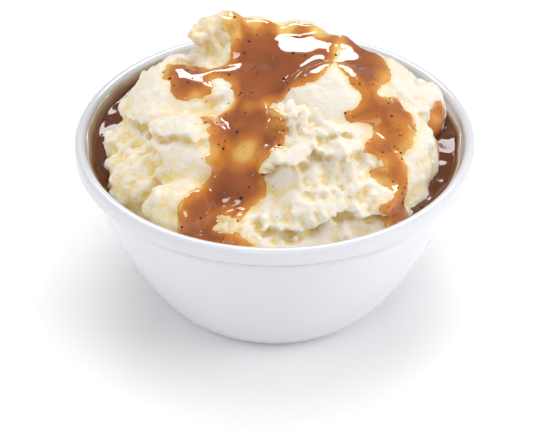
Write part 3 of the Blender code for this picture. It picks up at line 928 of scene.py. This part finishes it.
# Gravy soaked into bare mash: direction (degrees), radius (mm) and amount, up to 1.
STAINS = (
    ((147, 32), 4.5, 0.6), ((156, 36), 4, 0.5), ((49, 31), 4, 0.6), ((14, 57), 4, 0.4),
    ((-24, 75), 3.5, 0.4), ((-60, 29), 3, 0.4), ((-155, 62), 2.5, 0.35), ((3, 66), 3, 0.3),
    ((27, 33), 4, 0.9), ((8, 31), 4, 0.8),
)
# A runnel of gravy down the right side into the pool.
RUNNEL = ((9, 73), (6, 75), (4, 78), (0, 81), (-7, 84), (-8, 90), (12, 90), (11, 83), (12, 78),
          (11, 74))
CHART_RADIUS = 42 * MM            # turns the angles of an outline into lengths on the heap


def chart(points):
    """Flattens points on the heap: tilt from +Z becomes a distance from the middle."""
    away = points - np.array(HEAP_CENTRE)
    flat = np.linalg.norm(away[:, :2], axis=1)
    tilt = np.arctan2(flat, away[:, 2])
    return away[:, :2] / np.maximum(flat, 1e-9)[:, None] * (tilt * CHART_RADIUS)[:, None]


def smooth_loop(points, per_span=5):
    """Points of a closed Catmull-Rom curve through the given plane points."""
    loop = []
    count = len(points)
    for index in range(count):
        before, start, end, after = (
            np.array(points[(index + k) % count]) for k in (-1, 0, 1, 2)
        )
        for step in range(per_span):
            t = step / per_span
            loop.append(0.5 * (
                2 * start + (end - before) * t
                + (2 * before - 5 * start + 4 * end - after) * t ** 2
                + (3 * start - before - 3 * end + after) * t ** 3
            ))
    return np.array(loop)


def chart_place(azimuth, tilt):
    """Where a direction from the heap's centre, in degrees, lies on the chart."""
    away = math.radians(tilt) * CHART_RADIUS
    return away * math.cos(math.radians(azimuth)), away * math.sin(math.radians(azimuth))


def outline_loop(outline):
    return smooth_loop([chart_place(*point) for point in outline])


def inside_distance(flat, loop):
    """Distance of each plane point from a closed loop, positive inside it."""
    nearest = np.full(len(flat), 1e9)
    inside = np.zeros(len(flat), dtype=bool)
    for start, end in zip(loop, np.roll(loop, -1, axis=0)):
        span = end - start
        along = np.clip(((flat - start) @ span) / max(span @ span, 1e-18), 0, 1)
        away = np.linalg.norm(flat - start - along[:, None] * span, axis=1)
        nearest = np.minimum(nearest, away)
        crosses = (start[1] > flat[:, 1]) != (end[1] > flat[:, 1])
        rise = end[1] - start[1] if end[1] != start[1] else 1e-12
        at = start[0] + (flat[:, 1] - start[1]) * span[0] / rise
        inside ^= crosses & (flat[:, 0] < at)
    return np.where(inside, nearest, -nearest)


def coat_distance(points, outline, seed):
    """Distance inside a gravy outline for points on the heap, with an uneven edge."""
    flat = chart(points)
    away = inside_distance(flat, outline_loop(outline))
    near = np.abs(away) < 6 * MM
    wobble = np.zeros(len(points))
    wobble[near] = (1.3 * cloudy(points[near], 6 * MM, seed)
                    + 0.7 * cloudy(points[near], 2.2 * MM, seed + 1)) * MM
    return away + wobble


def build_coat(name, outline, seed, settings, mash_mesh, mash_tree):
    """A coat of gravy: the mash's surface evened out, lifted, and closed underneath."""
    points, pairs = positions(mash_mesh), edge_pairs(mash_mesh)
    inside = coat_distance(points, outline, seed)
    inside[points[:, 2] < 47 * MM] = -1.0
    close = relax(points, pairs, 4)
    even = relax(close, pairs, 50)
    deep = smooth_step(1.0 * MM, 5.0 * MM, inside)[:, None]
    even = close + deep * (even - close)
    item = bpy.data.objects.new(name, mash_mesh.copy())
    item.data.name = name
    bpy.context.scene.collection.objects.link(item)
    set_positions(item.data, even)
    outward = normals(item.data)
    rise = smooth_step(-0.3 * MM, 0.9 * MM, inside) * 0.45
    rise += 0.55 * smooth_step(0.5 * MM, 4.5 * MM, inside)
    sink = -0.8 * MM * smooth_step(-0.2, 1.0, -inside / (1.2 * MM))
    lift = settings.thickness * rise + sink
    set_positions(item.data, even + outward * lift[:, None])
    shape = bmesh.new()
    shape.from_mesh(item.data)
    shape.verts.ensure_lookup_table()
    away = [vert for vert in shape.verts if inside[vert.index] < -1.3 * MM]
    bmesh.ops.delete(shape, geom=away, context="VERTS")
    shape.to_mesh(item.data)
    shape.free()
    apply_modifier(item, "SOLIDIFY", thickness=1.6 * MM, offset=-1.0)
    apply_modifier(item, "REMESH", mode="VOXEL", voxel_size=settings.grid)
    apply_modifier(item, "SMOOTH", factor=0.5, iterations=4)
    keep_largest(item, 400)
    store_depth(item, outline, seed, mash_tree)
    return item


def keep_largest(item, fewest):
    """Deletes loose bits with fewer than a number of points."""
    shape = bmesh.new()
    shape.from_mesh(item.data)
    unseen = set(shape.verts)
    doomed = []
    while unseen:
        island, edge = [], [unseen.pop()]
        while edge:
            vert = edge.pop()
            island.append(vert)
            for link in vert.link_edges:
                other = link.other_vert(vert)
                if other in unseen:
                    unseen.remove(other)
                    edge.append(other)
        if len(island) < fewest:
            doomed += island
    bmesh.ops.delete(shape, geom=doomed, context="VERTS")
    shape.to_mesh(item.data)
    shape.free()


def store_depth(item, outline, seed, mash_tree):
    """Marks how deep the gravy looks at each point, for colour."""
    points = positions(item.data)
    film = np.zeros(len(points))
    for index, point in enumerate(points):
        place, outward, _, away = mash_tree.find_nearest(Vector(point))
        above = (Vector(point) - place).dot(outward) > 0
        film[index] = away if above else 0.0
    film = relax(film, edge_pairs(item.data), 3) / (1.1 * MM)
    inside = coat_distance(points, outline, seed)
    edge = 0.42 + 0.14 * cloudy(points, 5 * MM, 63)
    depth = edge + (0.78 - edge) * smooth_step(0.2 * MM, 4.5 * MM, inside)
    depth *= 0.75 + 0.25 * film
    flat = chart(points)
    for direction, radius, amount in THIN:
        away = np.linalg.norm(flat - np.array(chart_place(*direction)), axis=1) / (radius * MM)
        depth *= 1 - 0.85 * amount * (1 - smooth_step(0.2, 1.3, away))
    depth += 0.12 * cloudy(points, 7 * MM, 61)
    store(item.data, "depth", np.clip(depth * 0.75, 0.05, 0.75))


# Pools along the wall: first and last azimuth (degrees), how far the film climbs, and the
# distance behind the middle (mm) at which the pool slopes down towards the front.
POOLS = {"gravy_pool_right": (-50, 26, 0.5, 0.5), "gravy_pool_left": (122, 214, 1.0, 9)}
POOL_DROP = 0.9 * MM
# The film that climbs the wall at a pool's edge: climb, thickness (mm) and how deep it looks.
FILM = ((0.6, 0.6, 0.95), (1.3, 0.35, 0.7), (2.0, 0.25, 0.36), (2.8, 0.2, 0.12), (3.5, 0.12, 0.0))


def build_pool(name, first, last, climbs, slope_at, bowl):
    """A pool of gravy against the wall, with a raised edge where it meets the glaze."""
    profile = inner_profile(bowl)
    heights = [point[1] for point in profile]
    radii = [point[0] for point in profile]
    edge = [(radius * MM, POOL_TOP) for radius in (40, 42, 44, 45.5, 47, 48.5, 50, 51.2, 52.2)]
    edge += [(53 * MM, POOL_TOP + 0.04 * MM), (53.8 * MM, POOL_TOP + 0.18 * MM)]
    depth = [1.0] * len(edge)
    for climb, thickness, amount in FILM:
        rise = POOL_TOP + climb * climbs * MM
        edge += [(float(np.interp(rise, heights, radii)) - thickness * MM, rise)]
        depth += [amount]
    depth += [0.0, 0.9, 1.0, 1.0, 1.0]
    rise = POOL_TOP + (FILM[-1][0] * climbs - 0.1) * MM
    edge += [(float(np.interp(rise, heights, radii)) + 0.05 * MM, rise)]
    low = POOL_TOP - 4.5 * MM
    edge += [(float(np.interp(z, heights, radii)) + 0.05 * MM, z)
             for z in (POOL_TOP - 0.5 * MM, POOL_TOP - 2 * MM, low)]
    edge += [(40 * MM, low)]
    turns = np.linspace(math.radians(first), math.radians(last), last - first + 1)
    points, faces = [], []
    size = len(edge)
    for turn in turns:
        wave = 1 + 0.3 * noise.noise(Vector((6 * math.cos(turn), 6 * math.sin(turn), 0)))
        from_end = math.degrees(min(turn - turns[0], turns[-1] - turn))
        dive = 3.0 * MM * float(1 - smooth_step(0.0, 8.0, from_end))
        behind = 52 * MM * math.sin(turn) - slope_at * MM
        level = POOL_DROP * float(smooth_step(-3.5 * MM, 3.5 * MM, behind))
        for r, z in edge:
            rise = max(0.0, z - POOL_TOP) * (wave - 1) + level
            slide = rise * (np.interp(z, heights, radii) - np.interp(z - MM, heights, radii))
            x, y = (r + slide / MM) * math.cos(turn), (r + slide / MM) * math.sin(turn)
            ripple = 0.0
            if POOL_TOP - 0.1 * MM < z < POOL_TOP + 0.1 * MM:
                ripple = 0.4 * MM * noise.noise(Vector((x, y, 0)) / (4.5 * MM))
            points.append((x, y, z + rise + ripple - dive))
    for row in range(len(turns) - 1):
        for index in range(size):
            after = (index + 1) % size
            base = row * size
            faces.append((base + index, base + size + index, base + size + after, base + after))
    faces += [tuple(range(size)), tuple(range(len(points) - 1, len(points) - size - 1, -1))]
    item = add_mesh(name, points, faces)
    select_only(item)
    bpy.ops.object.mode_set(mode="EDIT")
    bpy.ops.mesh.select_all(action="SELECT")
    bpy.ops.mesh.normals_make_consistent(inside=False)
    bpy.ops.object.mode_set(mode="OBJECT")
    store(item.data, "depth", depth * len(turns))
    return item


# ---- Pepper --------------------------------------------------------------------------------
def scatter(name, mesh, draw, count, low, high, weight, flatness, sink):
    places, outward = triangle_samples(mesh, draw, count, weight)
    sizes = (low + (high - low) * draw.random(len(places)) ** 2.8) * MM
    return blobs(name, places, outward, sizes, draw, sink, flatness)


def shown(mesh, lowest):
    """1 for points that face outward and up above a height, 0 for the rest."""
    return ((normals(mesh)[:, 2] > -0.1) & (positions(mesh)[:, 2] > lowest)).astype(float)


# ---- Operators -----------------------------------------------------------------------------
class MakeBowl(bpy.types.Operator):
    """Turn the white bowl and glaze it"""
    bl_idname = "potato_side.bowl"
    bl_label = "Bowl"

    def execute(self, context):
        settings = context.scene.side_bowl
        finish_piece(build_bowl(settings), "white_glaze", glaze_material(settings), "bowl")
        return {"FINISHED"}


class MakeMash(bpy.types.Operator):
    """Heap up the mashed potato with its ledges and crumbs"""
    bl_idname = "potato_side.mash"
    bl_label = "Mash"

    def execute(self, context):
        scene = context.scene
        mash = build_mash(scene.side_mash, scene.side_bowl)
        close_bottom(mash, 43 * MM, scene.side_bowl)
        store_painted_shade(mash)
        points = positions(mash.data)
        stain = np.zeros(len(points))
        for seed, outline in enumerate(COATS.values()):
            inside = coat_distance(points, outline, 10 * seed + 3)
            stain = np.maximum(stain, smooth_step(-1.8 * MM, 0.4 * MM, inside))
        flat = chart(points)
        for direction, radius, amount in STAINS:
            away = np.linalg.norm(flat - np.array(chart_place(*direction)), axis=1)
            away /= radius * MM
            stain = np.maximum(stain, amount * (1 - smooth_step(0.3, 1.4, away)))
        stain *= 0.55 + 0.45 * cloudy(points, 3 * MM, 5)
        store(mash.data, "stain", np.clip(stain, 0, 1))
        finish_piece(mash, "mashed_potato",
                     mash_material(scene.side_mash), "mash")
        return {"FINISHED"}


class MakeGravy(bpy.types.Operator):
    """Pour the gravy over the heap and into the pools"""
    bl_idname = "potato_side.gravy"
    bl_label = "Gravy"

    def execute(self, context):
        scene = context.scene
        colours = scene.side_gravy
        sauce = gravy_material("brown_gravy", [
            (0.14, colours.thin), (0.34, colours.middle), (0.6, colours.deep),
            (1.0, colours.pool),
        ], 1.0)
        deep_sauce = gravy_material("pooled_gravy", [
            (0.0, colours.film), (0.4, colours.beige), (0.75, colours.brown),
            (1.0, colours.pool),
        ], 0.25)
        mash_mesh = bpy.data.objects["mash_heap"].data
        tree = BVHTree.FromPolygons(
            [vert.co for vert in mash_mesh.vertices],
            [tuple(face.vertices) for face in mash_mesh.polygons],
        )
        for seed, (node, outline) in enumerate(COATS.items()):
            name = "poured_" + node
            coat = build_coat(name, outline, 10 * seed + 3, scene.side_gravy, mash_mesh, tree)
            finish_piece(coat, "brown_gravy", sauce, node)
        runnel = build_coat("gravy_runnel", RUNNEL, 93, scene.side_gravy, mash_mesh, tree)
        finish_piece(runnel, "brown_gravy", sauce)
        for node, shape in POOLS.items():
            pool = build_pool("poured_" + node, *shape, scene.side_bowl)
            finish_piece(pool, "brown_gravy", deep_sauce, node)
        return {"FINISHED"}


class MakePepper(bpy.types.Operator):
    """Scatter pepper and pale spice over the gravy and the mash"""
    bl_idname = "potato_side.pepper"
    bl_label = "Pepper"

    def execute(self, context):
        settings = context.scene.side_pepper
        draw = np.random.default_rng(settings.seed)
        coats = [bpy.data.objects["poured_" + node] for node in (*COATS, *POOLS)]
        areas = [60.0, 40.0, 12.0, 14.0, 14.0]
        black, pale = [], []
        for coat, area in zip(coats, areas):
            share = area / sum(areas)
            mesh = coat.data
            depth = np.empty(len(mesh.vertices))
            mesh.attributes["depth"].data.foreach_get("value", depth)
            weight = shown(mesh, 48 * MM) * (depth > 0.12)
            if mesh.name.startswith("poured_gravy_pool"):
                weight *= depth > 0.96
            black.append(scatter("pepper", mesh, draw, int(settings.on_gravy * share),
                                 0.12, 0.62, weight, (0.5, 0.9), 0.2))
            pale.append(scatter("spice", mesh, draw, int(settings.pale * share),
                                0.15, 0.45, weight, (0.25, 0.5), 0.1))
        mash_mesh = bpy.data.objects["mash_heap"].data
        black.append(scatter("pepper", mash_mesh, draw, settings.on_mash, 0.10, 0.32,
                             shown(mash_mesh, 52 * MM), (0.5, 0.9), 0.25))
        pepper = join(black, "pepper_specks")
        spice = join(pale, "pale_spice")
        finish_piece(pepper, "brown_gravy",
                     speck_material("black_pepper", settings.black, 0.45))
        finish_piece(spice, "brown_gravy", speck_material("pale_spice", settings.beige, 0.5))
        return {"FINISHED"}


class MakeStage(bpy.types.Operator):
    """Lay the pale floor, hang the lights and set up the camera"""
    bl_idname = "potato_side.stage"
    bl_label = "Stage"

    def execute(self, context):
        settings = context.scene.side_stage
        deselect_all()
        bpy.ops.mesh.primitive_plane_add(size=6.0, location=(0, 0, 0))
        floor = bpy.context.view_layer.objects.active
        floor.name = "floor"
        made, nodes, links, shader = new_material("pale_floor")
        shader.inputs["Base Color"].default_value = (*settings.floor, 1.0)
        shader.inputs["Roughness"].default_value = 0.9
        shader.inputs["Specular IOR Level"].default_value = 0.0
        floor.data.materials.append(made)
        target = Vector((0, 0, 23.2 * MM))
        middle = (0, 0, 0.06)
        add_softbox("back_shine", (0.03, 0.50, 0.72), middle, 0.70, 0.30, 6.0, soft=False)
        add_softbox("back_fill", (0.03, 0.50, 0.72), middle, 0.70, 0.40, 2.6, shines=False)
        add_softbox("front_softbox", (-0.12, -0.62, 0.72), middle, 0.18, 0.16, 0.42)
        add_softbox("top_fill", (0, 0.1, 1.3), middle, 0.8, 0.8, 6.2, shines=False)
        add_softbox("front_fill", (0, -1.1, 0.6), middle, 1.4, 0.8, 2.5, shines=False)
        add_softbox("right_fill", (1.0, -0.25, 0.5), middle, 0.8, 0.8, 7.8, shines=False)
        add_softbox("left_fill", (-1.0, -0.25, 0.5), middle, 0.8, 0.8, 4.4, shines=False)
        world = bpy.data.worlds.new("studio")
        context.scene.world = world
        world.use_nodes = True
        world.node_tree.nodes["Background"].inputs["Color"].default_value = (1, 1, 1, 1)
        world.node_tree.nodes["Background"].inputs["Strength"].default_value = 0.22
        context.scene.view_settings.view_transform = "Standard"
        camera = bpy.data.objects.new("camera", bpy.data.cameras.new("camera"))
        context.scene.collection.objects.link(camera)
        camera.data.lens = settings.lens
        camera.data.sensor_width = 36.0
        away = Vector((0, -math.cos(settings.elevation), math.sin(settings.elevation)))
        camera.location = target + away * settings.distance
        camera.rotation_euler = away.to_track_quat("Z", "Y").to_euler()
        context.scene.camera = camera
        return {"FINISHED"}


def add_softbox(name, place, target, width, height, power, shines=True, soft=True):
    lamp = bpy.data.lights.new(name, "AREA")
    lamp.shape = "RECTANGLE"
    lamp.size = width
    lamp.size_y = height
    lamp.energy = power
    item = bpy.data.objects.new(name, lamp)
    bpy.context.scene.collection.objects.link(item)
    item.location = place
    item.visible_glossy = shines
    item.visible_diffuse = soft
    away = Vector(place) - Vector(target)
    item.rotation_euler = away.to_track_quat("Z", "Y").to_euler()
    return item


class POTATO_PT_side(bpy.types.Panel):
    """Lists the pieces of the side dish"""
    bl_idname = "POTATO_PT_side"
    bl_label = "Potato Side"
    bl_space_type = "VIEW_3D"
    bl_region_type = "UI"
    bl_category = "Potato Side"

    def draw(self, context):
        scene = context.scene
        for step, settings in STEPS:
            box = self.layout.box()
            box.operator(step.bl_idname)
            for name in getattr(scene, settings).bl_rna.properties.keys():
                if name not in ("rna_type", "name"):
                    box.prop(getattr(scene, settings), name)


STEPS = (
    (MakeBowl, "side_bowl"),
    (MakeMash, "side_mash"),
    (MakeGravy, "side_gravy"),
    (MakePepper, "side_pepper"),
    (MakeStage, "side_stage"),
)
SETTINGS = {
    "side_bowl": BowlSettings,
    "side_mash": MashSettings,
    "side_gravy": GravySettings,
    "side_pepper": PepperSettings,
    "side_stage": StageSettings,
}
CLASSES = (*SETTINGS.values(), *(step for step, _ in STEPS), POTATO_PT_side)


def register():
    for item in CLASSES:
        bpy.utils.register_class(item)
    for name, group in SETTINGS.items():
        setattr(bpy.types.Scene, name, PointerProperty(type=group))


def unregister():
    for name in SETTINGS:
        delattr(bpy.types.Scene, name)
    for item in reversed(CLASSES):
        bpy.utils.unregister_class(item)


def main():
    register()
    bpy.ops.potato_side.bowl()
    bpy.ops.potato_side.mash()
    bpy.ops.potato_side.gravy()
    bpy.ops.potato_side.pepper()
    bpy.ops.potato_side.stage()


if __name__ == "__main__":
    main()
